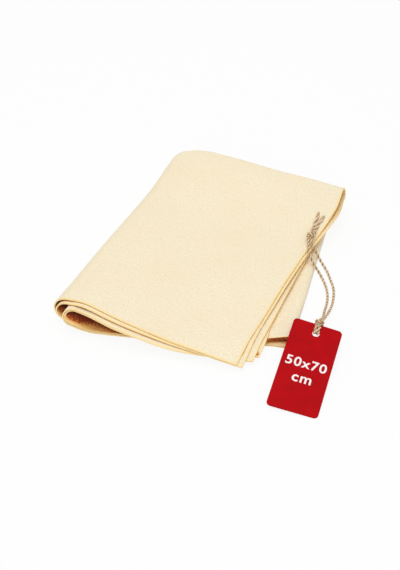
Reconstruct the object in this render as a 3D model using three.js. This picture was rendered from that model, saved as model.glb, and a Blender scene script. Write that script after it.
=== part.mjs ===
// Folded cleaning cloth with a hang tag on a loop of twine, in millimetres.
// +Z is up and z = 0 is the surface that the cloth lies on.
import * as THREE from "three";

// The cloth: one flat sheet, folded across once and then folded over twice
const SHEET_LENGTH = 700;
const SHEET_WIDTH = 500;
const SHEET_THICKNESS = 1.2;
const LEAF_CLEARANCE = 0.4;
const CROSS_FOLD_DEPTH = 12;

// How far its folds spring open and its edges lift
const ROLL_RISE_NEAR = 12.4;
const ROLL_RISE_FAR = 4.5;
const ROLL_LOOSENESS = 1.6;
const EDGE_LIFT = 5.2;
const FAR_LIFT = 7.6;
const LOOP_HEIGHT = 8.2;
const LIP_LIFT = 6;
const FOLD_RELIEF = 1;
const TOP_SPRING = 0.35;
const DRAPE_LENGTH = 36;
const DRAPE_REST = 5;

// How far the two leaves of a double layer have slipped past each other at the cut edges
const SLIP_MIDDLE = 1.2;
const SLIP_NEAR = 4;
const SLIP_FAR = 3.3;
const SLIP_BACK = 1.5;
const LOWER_SLIP = 1.5;
const LOWER_SLIP_BACK = 6;

// The hang tag
const TAG_WIDTH = 41.5;
const TAG_LENGTH = 90;
const TAG_THICKNESS = 0.6;
const TAG_CORNER_RADIUS = 3.6;
const TAG_HOLE_RADIUS = 3;
const TAG_HOLE_INSET = 9.2;
const TAG_TURN_DEGREES = 8;
const TAG_PLACE_SHARE = { x: 0.325, y: -0.082 };
const TAG_RUB_MARGIN = 3;

// The twine
const TWINE_DIAMETER = 2;
const TWINE_CLEARANCE = 0.3;
const STRAND_STEP_SHARE = 2.5;
const HITCH_STEP_SHARE = 0.8;
const HITCH_REACH = 4.2;
const KNOT_WIDTH = 6;
const KNOT_LENGTH = 7.4;
const KNOT_HEIGHT = 4.6;

// Sizes that follow
const FOLDED_WIDTH = SHEET_LENGTH / 4;
const FOLDED_LENGTH = SHEET_WIDTH / 2;
const LEAF_PITCH = SHEET_THICKNESS + LEAF_CLEARANCE;
const TWINE_RADIUS = TWINE_DIAMETER / 2;

// Where each double layer lies in plan, in shares of the folded width and length from the
// near right corner of the top layer: at its rolled side near and far, at its end near and far.
const PLAN_SHARES = {
  top: { roll: [[-0.874, -0.03], [-0.971, 0.976]], end: [[0, 0], [0, 0.984]] },
  under: { roll: [[-0.834, -0.05], [-0.937, 0.972]], end: [[0.056, 0.052], [-0.08, 0.976]] },
  lower: { roll: [[-0.834, -0.088], [-0.949, 0.976]], end: [[0.143, 0.19], [-0.097, 1.04]] },
  bottom: { roll: [[-0.874, -0.048], [-0.966, 0.976]], end: [[0.149, 0.176], [-0.091, 1.048]] },
};
const LAYERS_UPWARD = ["bottom", "lower", "under", "top"];

// How much of the roll's rise, the edge's lift and the far lift each double layer takes
const ROLL_SHARE = { bottom: 0, lower: 0, under: 0.93, top: 1 };
const EDGE_SHARE = { bottom: 0, lower: 0.2, under: 0.55, top: 1 };
const FAR_SHARE = { bottom: 0, lower: 0.06, under: 0.2, top: 1 };
const NEAR_BOW_SHARE = { bottom: 0.032, lower: 0.024, under: 0.042, top: 0.012 };

// The stretches of the sheet from its upper cut end to its lower one: where each starts, in
// shares of the sheet's length, the double layers it joins, and its steps
const STRETCH_SHARES = [
  { from: 0, to: 0.217, layer: "top", side: "end" },
  { from: 0.217, to: 0.274, layer: "top", next: "bottom", side: "roll", swell: 1.12, steps: 4 },
  { from: 0.274, to: 0.489, layer: "bottom", side: "roll" },
  { from: 0.489, to: 0.506, layer: "bottom", next: "lower", side: "end", swell: 1.3, steps: 4 },
  { from: 0.506, to: 0.723, layer: "lower", side: "end" },
  { from: 0.723, to: 0.759, layer: "lower", next: "under", side: "roll", swell: 1.12, steps: 3 },
  { from: 0.759, to: 1, layer: "under", side: "roll" },
];
const FLAT_STEP_SHARES = [0, 0.15, 0.4, 0.65, 0.85, 1];
const LEAF_STEP_SHARES = [0, 0.06, 0.12, 0.19, 0.32, 0.5, 0.75, 1];
const CROSS_FOLD_STEPS = 4;

function smooth(from, to, x) {
  const t = Math.min(Math.max((x - from) / (to - from), 0), 1);
  return t * t * (3 - 2 * t);
}

function mix(a, b, t) {
  return a + (b - a) * t;
}

function hump(x, centre, reach) {
  return Math.exp(-(((x - centre) / reach) ** 2));
}

// A point of a double layer in plan, in shares: u runs from one side of it to the other,
// as its edges do, and v runs from near to far.
function planPoint(layer, u, v) {
  const { roll, end } = PLAN_SHARES[layer];
  const bow = NEAR_BOW_SHARE[layer] * Math.sin(Math.PI * u) * (1 - smooth(0, 0.5, v));
  const x = mix(mix(roll[0][0], roll[1][0], v), mix(end[0][0], end[1][0], v), u);
  const y = mix(mix(roll[0][1], roll[1][1], v), mix(end[0][1], end[1][1], v), u);
  const upper = layer === "top" || layer === "under";
  const edgeWave = 0.018 * hump(v, 0.13, 0.09) - 0.014 * hump(v, 0.42, 0.2);
  return [upper ? x + edgeWave * u * u : x, y - bow];
}

// The near edge of the lower half, in shares, where the upper half comes down over it
function lowerEdge(x) {
  const [rollEnd] = PLAN_SHARES.lower.roll;
  const [foldEnd] = PLAN_SHARES.lower.end;
  const u = Math.min(Math.max((x - rollEnd[0]) / (foldEnd[0] - rollEnd[0]), 0), 1);
  return mix(rollEnd[1], foldEnd[1], u) - NEAR_BOW_SHARE.bottom * Math.sin(Math.PI * u);
}

// The height of the middle of a double layer over a place in plan
function layerHeight(layer, x, y, v) {
  const stacked = SHEET_THICKNESS / 2 + LEAF_PITCH * (2 * LAYERS_UPWARD.indexOf(layer) + 1 / 2);
  const fromRoll = x - mix(PLAN_SHARES.top.roll[0][0], PLAN_SHARES.top.roll[1][0], v);
  const rolled = 1 - smooth(0.02, mix(0.58, 0.25, v), fromRoll);
  const rise = mix(ROLL_RISE_NEAR, ROLL_RISE_FAR, smooth(0, 0.8, v)) * ROLL_SHARE[layer];
  const edgeAlong = 0.7 * smooth(0.2, 0.44, y) + 0.3 * smooth(0.6, 0.76, y);
  const edge = edgeAlong * (1 - 0.7 * smooth(0.76, 0.98, y)) * hump(Math.min(x, 0), 0, 0.22);
  const far = smooth(0.6, 0.98, y) * (1 - 0.6 * (1 - smooth(0, 0.2, fromRoll)));
  const lifted =
    rise * rolled + EDGE_LIFT * EDGE_SHARE[layer] * edge + FAR_LIFT * FAR_SHARE[layer] * far;
  return stacked + lifted + draped(layer, x, y) + mouth(layer, x, y, v);
}

// The upper half comes down over the near edge of the lower half
function draped(layer, x, y) {
  if (layer === "bottom" || layer === "lower") return 0;
  const beyond = (y - lowerEdge(x)) * FOLDED_LENGTH;
  const fromMiddle = smooth(-0.7, -0.4, x);
  const drop = 4 * LEAF_PITCH * (1 - smooth(-DRAPE_LENGTH, -DRAPE_REST, beyond));
  const spring = layer === "top" ? TOP_SPRING * (1 - smooth(0.3, 0.5, y)) : 0;
  return (spring - drop) * fromMiddle;
}

// The lower half's own fold is loose, and its upper leaves lift in a lip beside it
function mouth(layer, x, y, v) {
  if (layer !== "lower") return 0;
  const foldPlace = mix(PLAN_SHARES.lower.end[0][0], PLAN_SHARES.lower.end[1][0], v);
  const relief = FOLD_RELIEF * (1 - smooth(0, 0.04, foldPlace - x));
  const lipAcross = smooth(0.03, 0.09, x) * (1 - smooth(0.1, 0.17, x));
  return relief + LIP_LIFT * lipAcross * (1 - smooth(0, 0.12, y - lowerEdge(x)));
}

function onLayer(layer, u, v, slip) {
  const [planX, planY] = planPoint(layer, u, v);
  const x = planX + slip[0] / FOLDED_WIDTH;
  const y = planY + slip[1] / FOLDED_LENGTH;
  return new THREE.Vector3(x * FOLDED_WIDTH, y * FOLDED_LENGTH, layerHeight(layer, x, y, v));
}

// The middle of the double layer at share s of the sheet's length and v of the folded length
function doubleLayerPoint(s, v, slip) {
  const stretch = STRETCH_SHARES.find((each) => s <= each.to);
  const { from, to, layer, next, side, swell } = stretch;
  const along = (s - from) / (to - from);
  if (!next) return onLayer(layer, side === "end" ? 1 - along : along, v, slip);
  const turn = along * Math.PI;
  const a = onLayer(layer, side === "end" ? 1 : 0, v, slip);
  const b = onLayer(next, side === "end" ? 1 : 0, v, slip);
  const out = (side === "end" ? 1 : -1) * (Math.abs(a.z - b.z) / 2) * swell * Math.sin(turn);
  const point = a.lerp(b, (1 - Math.cos(turn)) / 2);
  point.x += out;
  point.y += (side === "end" ? 0.2 : 0.04) * out;
  return point;
}

// How much further apart the leaves stand where the far fold of the top ones hangs open, and
// where they go round the roll near the viewer
function looseness(point, s) {
  const x = point.x / FOLDED_WIDTH;
  const y = point.y / FOLDED_LENGTH;
  const onTop = 1 - smooth(0.18, 0.24, s);
  const loop = LOOP_HEIGHT * hump(y, 0.988, 0.17) * smooth(-0.98, -0.69, x) * onTop;
  return loop + ROLL_LOOSENESS * hump(s, 0.243, 0.022) * (1 - smooth(-0.03, 0.11, y));
}

// The second leaf of the top double layer has slipped out past the first at its cut end, and
// the first of the layer under it past the second.
function leafSlip(s, v, turn) {
  const second = ((1 - Math.cos(turn)) / 2) * (1 - smooth(0, 0.17, s));
  const first = ((1 + Math.cos(turn)) / 2) * smooth(0.8, 1, s) * (1 - smooth(0.05, 0.2, v));
  const nearSlip = SLIP_NEAR * (1 - smooth(0, 0.22, v));
  const farSlip = SLIP_FAR * smooth(0.6, 0.85, v) * (1 - 0.9 * smooth(0.9, 1, v));
  return [
    second * (SLIP_MIDDLE + nearSlip + farSlip) + first * LOWER_SLIP,
    second * SLIP_BACK * (1 - smooth(0, 0.2, v)) + first * LOWER_SLIP_BACK,
  ];
}

// The middle of the sheet at share s of its length and distance t across its width
function sheetPoint(s, t) {
  const half = SHEET_WIDTH / 2;
  const straight = half - CROSS_FOLD_DEPTH / 2;
  const v = Math.min((t <= half ? t : SHEET_WIDTH - t) / straight, 1);
  const turn = Math.min(Math.max((t - straight) / CROSS_FOLD_DEPTH, 0), 1) * Math.PI;
  const slip = leafSlip(s, v, turn);
  const point = doubleLayerPoint(s, v, slip);
  const stepShare = 0.0007;
  const along = doubleLayerPoint(Math.min(s + stepShare, 1), v, slip);
  along.sub(doubleLayerPoint(Math.max(s - stepShare, 0), v, slip));
  const away = doubleLayerPoint(s, Math.min(v + stepShare, 1), slip);
  away.sub(doubleLayerPoint(s, Math.max(v - stepShare, 0), slip)).normalize();
  const normal = new THREE.Vector3().crossVectors(away, along).normalize();
  const apart = (LEAF_PITCH + looseness(point, s)) / 2;
  point.addScaledVector(normal, apart * Math.cos(turn));
  point.addScaledVector(away, apart * Math.sin(turn));
  return point;
}

function sheetNormal(s, t) {
  const stepShare = 0.0006;
  const along = sheetPoint(Math.min(s + stepShare, 1), t);
  along.sub(sheetPoint(Math.max(s - stepShare, 0), t));
  const away = sheetPoint(s, Math.min(t + stepShare * SHEET_WIDTH, SHEET_WIDTH));
  away.sub(sheetPoint(s, Math.max(t - stepShare * SHEET_WIDTH, 0)));
  return away.cross(along).normalize();
}

// Places along the sheet's length, in shares, and across its width, in millimetres
function lengthStations() {
  const stations = STRETCH_SHARES.flatMap(({ from, to, next, steps }) =>
    next
      ? Array.from({ length: steps }, (_, i) => mix(from, to, i / steps))
      : FLAT_STEP_SHARES.slice(0, -1).map((share) => mix(from, to, share)),
  );
  return [...stations, 1];
}

function widthStations() {
  const straight = (SHEET_WIDTH - CROSS_FOLD_DEPTH) / 2;
  const leaf = LEAF_STEP_SHARES.map((share) => share * straight);
  const fold = Array.from(
    { length: CROSS_FOLD_STEPS - 1 },
    (_, i) => straight + (CROSS_FOLD_DEPTH * (i + 1)) / CROSS_FOLD_STEPS,
  );
  return [...leaf, ...fold, ...leaf.map((t) => SHEET_WIDTH - t).reverse()];
}

// A closed sheet with a wall: both faces of the grid, joined around its border
function clothGeometry() {
  const along = lengthStations();
  const across = widthStations();
  const positions = [];
  along.forEach((s) =>
    across.forEach((t) => {
      const middle = sheetPoint(s, t);
      const normal = sheetNormal(s, t).multiplyScalar(SHEET_THICKNESS / 2);
      [middle.clone().add(normal), middle.clone().sub(normal)].forEach((corner) => {
        positions.push(corner.x, corner.y, Math.max(corner.z, 0));
      });
    }),
  );
  const rows = along.length - 1;
  const columns = across.length - 1;
  const outer = (i, j) => 2 * (i * across.length + j);
  const inner = (i, j) => outer(i, j) + 1;
  const index = [];
  const quad = (a, b, c, d) => index.push(a, b, c, a, c, d);
  for (let i = 0; i < rows; i += 1) {
    const middle = (along[i] + along[i + 1]) / 2;
    const { layer } = STRETCH_SHARES.find((each) => middle <= each.to);
    const backwards = layer === "top" || layer === "lower";
    for (let j = 0; j < columns; j += 1) {
      const face = [outer(i, j), outer(i, j + 1), outer(i + 1, j + 1), outer(i + 1, j)];
      const back = [inner(i, j + 1), inner(i, j), inner(i + 1, j), inner(i + 1, j + 1)];
      // Every leaf is split along the same diagonal in plan, so that they nest
      const turned = backwards !== j >= columns / 2 ? face : back;
      turned.push(turned.shift());
      quad(...face);
      quad(...back);
    }
  }
  for (let j = 0; j < columns; j += 1) {
    quad(outer(0, j + 1), outer(0, j), inner(0, j), inner(0, j + 1));
    quad(outer(rows, j), outer(rows, j + 1), inner(rows, j + 1), inner(rows, j));
  }
  for (let i = 0; i < rows; i += 1) {
    quad(outer(i, 0), outer(i + 1, 0), inner(i + 1, 0), inner(i, 0));
    quad(outer(i + 1, columns), outer(i, columns), inner(i, columns), inner(i + 1, columns));
  }
  const geometry = new THREE.BufferGeometry();
  geometry.setAttribute("position", new THREE.Float32BufferAttribute(positions, 3));
  geometry.setIndex(index);
  return geometry;
}

// The card lies with its top at the origin: x across it, y towards its top, z out of its front.
function tagGeometry() {
  const half = TAG_WIDTH / 2;
  const round = TAG_CORNER_RADIUS;
  const card = new THREE.Shape();
  card.moveTo(round - half, -TAG_LENGTH);
  card.absarc(half - round, round - TAG_LENGTH, round, -Math.PI / 2, 0);
  card.absarc(half - round, -round, round, 0, Math.PI / 2);
  card.absarc(round - half, -round, round, Math.PI / 2, Math.PI);
  card.absarc(round - half, round - TAG_LENGTH, round, Math.PI, 1.5 * Math.PI);
  const hole = new THREE.Path();
  hole.absarc(0, -TAG_HOLE_INSET, TAG_HOLE_RADIUS, 0, 2 * Math.PI, true);
  card.holes.push(hole);
  return new THREE.ExtrudeGeometry(card, {
    depth: TAG_THICKNESS,
    bevelEnabled: false,
    curveSegments: 6,
  });
}

// The card leans from its bottom edge on the floor up over whatever of the cloth is under it.
function tagLean(cloth, foot, turn) {
  const across = new THREE.Vector3(Math.cos(turn), Math.sin(turn), 0);
  const uphill = new THREE.Vector3(-Math.sin(turn), Math.cos(turn), 0);
  const corners = cloth.getAttribute("position");
  let lean = 0;
  for (let i = 0; i < corners.count; i += 1) {
    const corner = new THREE.Vector3().fromBufferAttribute(corners, i).sub(foot);
    const out = corner.dot(uphill);
    const aside = Math.abs(corner.dot(across));
    if (out > 0 && out < TAG_LENGTH && aside < TAG_WIDTH / 2 + TAG_RUB_MARGIN) {
      lean = Math.max(lean, Math.atan2(corner.z + TWINE_CLEARANCE, out));
    }
  }
  return lean;
}

// One step of a tube is stepShare times the twine's diameter
function twineGeometry(points, stepShare) {
  const round = new THREE.Shape().absarc(0, 0, TWINE_RADIUS, 0, 2 * Math.PI);
  const path = new THREE.CatmullRomCurve3(points);
  return new THREE.ExtrudeGeometry(round, {
    steps: Math.ceil(path.getLength() / (stepShare * TWINE_DIAMETER)),
    curveSegments: 4,
    extrudePath: path,
  });
}

// The twine's doubled end goes through the card's hole, up behind it and over its top edge,
// and both strands pass under it, down the card's front and into the hole.
function hitchPoints() {
  const beside = TWINE_RADIUS + TWINE_CLEARANCE / 2;
  const wide = beside + TWINE_DIAMETER + TWINE_CLEARANCE;
  const front = TAG_THICKNESS + TWINE_CLEARANCE + TWINE_RADIUS;
  const back = -TWINE_CLEARANCE - TWINE_RADIUS;
  const over = front + TWINE_DIAMETER + TWINE_CLEARANCE;
  const down = (depthShare) => -TAG_HOLE_INSET * depthShare;
  const strand = [
    [beside, HITCH_REACH, front - TWINE_RADIUS],
    [beside, HITCH_REACH - TWINE_DIAMETER, front - TWINE_CLEARANCE],
    [beside, down(0.2), front],
    [beside, down(0.7), front],
    [beside, down(0.96), TAG_THICKNESS / 2],
    [beside, down(0.74), back],
    [mix(beside, wide, 0.5), down(0.3), back],
    [wide, TWINE_RADIUS, back + TWINE_CLEARANCE],
    [wide, TWINE_DIAMETER, TAG_THICKNESS + TWINE_CLEARANCE],
    [wide, TWINE_RADIUS, over - TWINE_CLEARANCE],
  ];
  const left = strand.map(([x, y, z]) => new THREE.Vector3(-x, y, z));
  const right = strand.map(([x, y, z]) => new THREE.Vector3(x, y, z)).reverse();
  return [...left, new THREE.Vector3(0, TWINE_RADIUS / 2, over + TWINE_CLEARANCE), ...right];
}

// The strands' routes from the card to the knot, and the two tails beyond it, in the part's
// own frame
const ROUTES = {
  twine_strand_left: [
    [117.5, -48.7, 12.8],
    [117.2, -46.6, 12.4],
    [117.2, -38.8, 8],
    [114.2, -25, 4],
    [111.3, -11.2, 1.6],
    [107.7, -0.9, 1.3],
    [101.4, 9.9, 1.5],
    [93.7, 17.9, 3.6],
    [85.2, 22.2, 10],
    [77.2, 27.5, 17.8],
    [74.9, 33, 19.7],
    [72.4, 38.3, 20.2],
    [71.3, 40.4, 20.5],
  ],
  twine_strand_right: [
    [119.8, -48.4, 12.8],
    [119.5, -46.3, 12.4],
    [119.1, -35.5, 8.4],
    [117.1, -15.8, 3],
    [114.1, -2.9, 1.5],
    [109.8, 8.5, 1.3],
    [103.5, 17.9, 1.4],
    [95.5, 28.3, 1.9],
    [87, 34.3, 6],
    [80.2, 36.3, 14.5],
    [77.4, 37, 18.8],
    [75.2, 38.7, 20.3],
    [73.8, 40.5, 20.8],
  ],
  twine_tail_left: [
    [70.6, 49.4, 21.4],
    [70.2, 51.6, 21.3],
    [68.8, 62.3, 21.5],
    [65.9, 81, 22.9],
  ],
  twine_tail_right: [
    [73, 49.4, 21.6],
    [72.7, 51.6, 21.6],
    [71.7, 61.8, 21.8],
    [72.7, 77.7, 23.2],
  ],
};
const KNOT_PLACE = [71.9, 45, 21.7];

function finish(color, roughness) {
  return new THREE.MeshStandardMaterial({ color, roughness, metalness: 0 });
}

function named(name, geometry, material) {
  const mesh = new THREE.Mesh(geometry, material);
  mesh.name = name;
  return mesh;
}

const CLOTH_COLOUR = 0xf5e8ca;
const TAG_COLOUR = 0xbb141b;
const TWINE_COLOUR = 0xcdb08a;

const part = new THREE.Group();
const sheetFrame = new THREE.Group();
part.add(sheetFrame);

const clothShape = clothGeometry();
sheetFrame.add(named("cloth", clothShape, finish(CLOTH_COLOUR, 0.95)));
const clothBox = new THREE.Box3().setFromBufferAttribute(clothShape.getAttribute("position"));
const clothCentre = clothBox.getCenter(new THREE.Vector3());
sheetFrame.position.set(-clothCentre.x, -clothCentre.y, 0);

const tagFoot = new THREE.Vector3(
  TAG_PLACE_SHARE.x * FOLDED_WIDTH,
  TAG_PLACE_SHARE.y * FOLDED_LENGTH,
  0,
);
const tagTurn = THREE.MathUtils.degToRad(TAG_TURN_DEGREES);
const tagFrame = new THREE.Group();
tagFrame.rotation.set(tagLean(clothShape, tagFoot, tagTurn), 0, tagTurn, "ZYX");
const tagTop = new THREE.Vector3(0, TAG_LENGTH, 0).applyEuler(tagFrame.rotation);
tagFrame.position.copy(tagFoot).add(tagTop);
tagFrame.add(named("tag", tagGeometry(), finish(TAG_COLOUR, 0.5)));
tagFrame.add(named("twine_hitch", twineGeometry(hitchPoints(), HITCH_STEP_SHARE), finish(TWINE_COLOUR, 0.9)));
sheetFrame.add(tagFrame);

Object.entries(ROUTES).forEach(([name, route]) => {
  const points = route.map((place) => new THREE.Vector3(...place));
  part.add(named(name, twineGeometry(points, STRAND_STEP_SHARE), finish(TWINE_COLOUR, 0.9)));
});

const knotShape = new THREE.SphereGeometry(1, 12, 8);
knotShape.scale(KNOT_WIDTH / 2, KNOT_LENGTH / 2, KNOT_HEIGHT / 2);
const knot = named("twine_knot", knotShape, finish(TWINE_COLOUR, 0.9));
knot.position.set(...KNOT_PLACE);
part.add(knot);

export default part;
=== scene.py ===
"""A synthetic chamois cloth, folded and lying flat, with a card hang tag on jute twine."""

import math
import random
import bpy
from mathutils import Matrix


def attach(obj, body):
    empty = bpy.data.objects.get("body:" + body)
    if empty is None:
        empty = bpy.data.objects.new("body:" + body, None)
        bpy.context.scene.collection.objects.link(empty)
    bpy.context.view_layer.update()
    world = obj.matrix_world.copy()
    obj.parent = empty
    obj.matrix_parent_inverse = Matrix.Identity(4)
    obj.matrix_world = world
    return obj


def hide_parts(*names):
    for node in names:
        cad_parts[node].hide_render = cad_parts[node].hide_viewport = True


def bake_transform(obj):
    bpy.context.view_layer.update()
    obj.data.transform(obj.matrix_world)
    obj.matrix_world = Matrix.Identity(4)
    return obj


bl_info = {
    "name": "Folded chamois cloth",
    "version": (1, 0, 0),
    "blender": (4, 5, 0),
    "location": "3D View > Sidebar > Chamois cloth",
    "description": "Dresses the packed cloth, tag and twine, and sets the stage",
    "category": "Object",
}

import bmesh
import bpy
import numpy as np
from bpy.props import FloatProperty, FloatVectorProperty, IntProperty, StringProperty
from bpy.types import Operator, Panel, PropertyGroup
from mathutils import Euler, Matrix, Vector
from mathutils.bvhtree import BVHTree

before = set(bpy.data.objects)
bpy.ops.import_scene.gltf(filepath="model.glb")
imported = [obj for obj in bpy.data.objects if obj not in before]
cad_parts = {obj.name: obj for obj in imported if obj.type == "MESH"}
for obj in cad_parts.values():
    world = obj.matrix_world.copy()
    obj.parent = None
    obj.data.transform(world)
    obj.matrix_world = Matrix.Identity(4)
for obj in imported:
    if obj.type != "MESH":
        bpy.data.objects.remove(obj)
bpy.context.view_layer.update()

MM = 0.001


def linear(hex_colour):
    """A linear colour, with alpha, from its sRGB hex value."""
    shares = [int(hex_colour[i : i + 2], 16) / 255 for i in (1, 3, 5)]
    parts = [c / 12.92 if c <= 0.04045 else ((c + 0.055) / 1.055) ** 2.4 for c in shares]
    return (*parts, 1.0)


# The folded sheet, in millimetres, from the near right corner of its top layer
SHEET_CORNER = np.array([74.76, -120.77, 0.0])
LEAF_CLEARANCE = 0.4
CROSS_FOLD_DEPTH = 12.0
LEAF_OFFSET = 1.6
ROLL_RISES = (12.4, 4.5)  # near and far
ROLL_LOOSENESS = 1.6
EDGE_LIFT = 5.2
FAR_LIFT = 7.6
LOOP_HEIGHT = 8.2
LIP_LIFT = 1.4
CURL_LENGTH = 18.0
CORNER_RADIUS = 15.0
CORNER_ROUNDNESS = 0.94
FOLD_RELIEF = 1.0
TOP_SPRING = 0.35
DRAPE_LENGTH = 36.0
DRAPE_REST = 5.0
SLIP_MIDDLE = 2.2
SLIP_NEAR = 2.4
SLIP_FAR = 1.0
SLIP_BACK = 3.6
LOWER_SLIP = 2.7
LOWER_SLIP_BACK = 6.0
WAVE_RUN = (2, 12)
FLOOR_GAP = 0.02

# Each double layer: its rolled side near and far, then its end near and far
PLAN = {
    "top": {"roll": ((-0.867, -0.03), (-0.971, 0.981)), "end": ((0.0, 0.0), (-0.008, 0.971))},
    "under": {"roll": ((-0.818, -0.05), (-0.937, 0.972)), "end": ((0.054, 0.052), (-0.022, 0.964))},
    "lower": {"roll": ((-0.815, -0.088), (-0.949, 0.976)), "end": ((0.143, 0.19), (-0.097, 1.04))},
    "bottom": {"roll": ((-0.867, -0.054), (-0.966, 0.976)), "end": ((0.149, 0.18), (-0.091, 1.048))},
}
LAYER_ORDER = {"bottom": 0, "lower": 1, "under": 2, "top": 3}
ROLL_SHARE = {"bottom": 0.0, "lower": 0.0, "under": 0.93, "top": 1.0}
EDGE_SHARE = {"bottom": 0.0, "lower": 0.2, "under": 0.55, "top": 1.0}
FAR_SHARE = {"bottom": 0.0, "lower": 0.06, "under": 0.2, "top": 1.0}
CURL = {"bottom": 2.5, "lower": 5.5, "under": -1.5, "top": -3.5}
NEAR_BOW = {"bottom": 0.032, "lower": 0.024, "under": 0.042, "top": 0.012}

# Stretches of the sheet from its upper cut end: from, to, layer, layer it turns into, side, swell
STRETCHES = (
    (0.0, 0.217, "top", None, "end", 1.0),
    (0.217, 0.274, "top", "bottom", "roll", 1.12),
    (0.274, 0.489, "bottom", None, "roll", 1.0),
    (0.489, 0.506, "bottom", "lower", "end", 1.3),
    (0.506, 0.723, "lower", None, "end", 1.0),
    (0.723, 0.759, "lower", "under", "roll", 1.12),
    (0.759, 1.0, "under", None, "roll", 1.0),
)
# A turn at each side: where it is across, which way it swells, and how far it slants with that
TURNS = {"end": (1, 1, 0.2), "roll": (0, -1, 0.04)}

# Where the forms of the stack fade in or out, in shares of its folded width or length
BOW_RUN = (0, 0.5)
FAR_BULGES = ((0.024, 0.8, 0.13), (0.0137, 0.905, 0.09))
FLOOR_BOW, FLOOR_ACROSS, FLOOR_RUN = 0.009, (0.92, 1), (0, 0.3)
CURL_RUN, CURL_POWER = (0, 0.45), 1.5
ROLL_START, ROLL_ENDS, ROLL_RISE_RUN = 0.02, (0.58, 0.25), (0, 0.8)
EDGE_STEPS, EDGE_REACH = ((0.7, 0.2, 0.44), (0.3, 0.6, 0.76)), 0.22
EDGE_FALL, EDGE_FALL_RUN = 0.7, (0.76, 0.98)
FAR_RUN, FAR_EASE, FAR_EASE_RUN = (0.6, 0.98), 0.6, (0, 0.2)
SPRING_RUN, DRAPE_ACROSS = (0.3, 0.5), (-0.7, -0.4)
FOLD_RELIEF_RUN, LIP_ACROSS, LIP_RUN = (0, 0.04), (0.05, 0.1, 0.14, 0.18), (0, 0.12)
LOOP_PLACE, LOOP_ACROSS = (0.988, 0.17), (-0.98, -0.69)
LOOSE_RUN = (-0.03, 0.11)
SLIP_NEAR_RUN, SLIP_BACK_RUN, LOWER_SLIP_RUN = (0, 0.22), (0, 0.2), (0.05, 0.2)
SLIP_FAR_RUN, SLIP_FALL, SLIP_FALL_RUN = (0.6, 0.85), 0.9, (0.9, 1)

# Where they do so along the sheet, in shares of its length
LOOP_ALONG = (0.18, 0.24)
LOOSE_PLACE = (0.243, 0.022)
SLIP_ALONG, LOWER_SLIP_ALONG = (0, 0.17), (0.8, 1)
OFFSET_FALL, OFFSET_ALONG = 0.9, (0.2, 0.32)
SLOPE_STEP = 0.0007

# The steps of the sheet's mesh, and the narrow stretches, in millimetres, that take finer ones
ALONG_STEPS = (34, 40, 34, 16, 34, 24, 37, 5)
ACROSS_STEPS = (5, 18, 38, 6, 16, 6, 38, 18, 5)
END_STRETCH = 5
EDGE_STRETCHES = (0, 6, 60)
FOLD_STRETCH = 20

# Painted shade, where the cloth is shut off from light: how much, where along the sheet, and how
# far in, in millimetres
LIPS = (0.92, (0.5, 0.507, 0.518, 0.545), (-1, 0, 0, 1.1))
MOUTH = (0.4, (0.445, 0.465, 0.489, 0.5), (-1, 0, 8, 18))
OUTER_ROLL = (0.52, (0.19, 0.225, 0.262, 0.3), (0.8, 2.2, 25, 45))
INNER_ROLL = ((0.55, 0.88), (0.62, 0.66, 0.8, 0.84), (-1, 0, 30, 45))
INNER_ROLL_LIT, INNER_ROLL_TURN, INNER_ROLL_FLOOR = (5, 1), (0.69, 0.72), (0.735, 0.755)
STRIP, STRIP_END, STRIP_FADE = 0.32, (0.03, 0.06), (20, 60)
HOLLOW_ALONG, HOLLOW_ACROSS = (2.1, 1.5), (3.0, 2.6)
# Painted light, where light soaks through the cloth, in the same way
LIT_EDGE = (3, 7)
LIT_ENDS = (0.26, (0.02, 0.045, 0.98, 0.994))
LIT_BESIDE_ROLLS = (0.22, (0.15, 0.2, 0.84, 0.88))
LIT_ROLL = (0.1, (0.19, 0.21, 0.28, 0.3))
LIT_BARE = (0.34, (0.505, 0.515, 0.6, 0.64), (2, 5, 225, 240))
GOLDEN_ANGLE = 2.39996
RAY_START = 0.00008
RIM_WIDTH, RIM_STEPS, RIM_ANGLE = 0.0003, 2, math.radians(62)

# The tag, in metres: its top edge's middle, how it leans, turns and is a little twisted (how far
# it rolls to its right at its top and foot) and how high its top stands
TAG_TOP = Vector((0.11929, -0.05397, 0.01145))
TAG_LEAN = math.radians(7.311)
TAG_TURN = math.radians(8.4)
TAG_ROLL = (math.radians(8.0), math.radians(4.4))
TAG_RISE = 0.0028
CARD_STEP = 0.004
CARD_CORNER_STEPS, CARD_HOLE_STEPS = 8, 40
CARD_BEVEL, CARD_RIM, CARD_RIM_ANGLE = 0.00012, 0.00008, 1.0
# Each line of print: its piece, its setting, its width and how far down the card it stands
PRINT = (
    ("print_size", "size_text", 0.0337, 0.0422),
    ("print_unit", "unit_text", 0.0158, 0.0582),
)
LETTER_SIZE, LETTER_WEIGHT, LETTER_SPACING = 0.015, 0.00024, 1.12
INK_LIFT, INK_MERGE = 0.00004, 0.000005

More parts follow.
